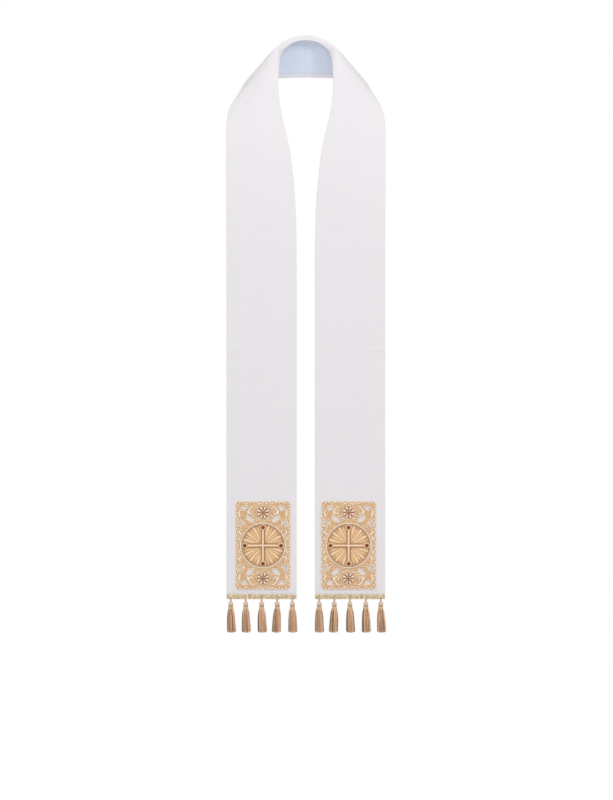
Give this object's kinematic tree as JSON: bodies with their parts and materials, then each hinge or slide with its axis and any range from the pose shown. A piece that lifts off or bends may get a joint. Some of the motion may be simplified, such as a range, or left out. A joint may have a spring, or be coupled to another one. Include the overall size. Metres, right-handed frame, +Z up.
{
  "type": "clerical stole",
  "caption": "Long lined cloth stole worn round the neck and hanging down in front, with an embroidered cross panel, a twisted braid and tassels at each end",
  "frame": {"origin": "on the axis of the wearer's neck, at the height where the stole rests on the shoulders", "axes": "+X to the viewer's right, +Y to the wearer's back, +Z up"},
  "size_m": [0.3358, 0.2474, 1.2779],
  "materials": {
    "cloth": "fine matt ivory weave with a soft sheen",
    "lining": "smooth pale blue lining",
    "embroidery": "close gold thread embroidery",
    "rays": "satin stitch in gold thread",
    "padding": "padded gold satin stitch",
    "petals": "russet and gold thread",
    "stone": "polished dark red",
    "bead": "pearly white",
    "thread": "twisted gold rayon cord"
  },
  "bodies": {
    "root": {"outer_cloth_left": "cloth", "lining_left": "lining", "applique_ground_left": "embroidery", "glory_left": "rays", "cross_left": "padding", "stone_top_left": "stone", "stone_bottom_left": "stone", "stone_inner_left": "stone", "stone_outer_left": "stone", "centre_bead_left": "bead", "rosette_top_left": "petals", "rosette_bottom_left": "petals", "braid_left": "thread", "tassel_1_left": "thread", "tassel_2_left": "thread", "tassel_3_left": "thread", "tassel_4_left": "thread", "tassel_5_left": "thread", "outer_cloth_right": "cloth", "lining_right": "lining", "applique_ground_right": "embroidery", "glory_right": "rays", "cross_right": "padding", "stone_top_right": "stone", "stone_bottom_right": "stone", "stone_inner_right": "stone", "stone_outer_right": "stone", "centre_bead_right": "bead", "rosette_top_right": "petals", "rosette_bottom_right": "petals", "braid_right": "thread", "tassel_1_right": "thread", "tassel_2_right": "thread", "tassel_3_right": "thread", "tassel_4_right": "thread", "tassel_5_right": "thread"}
  },
  "joints": []
}
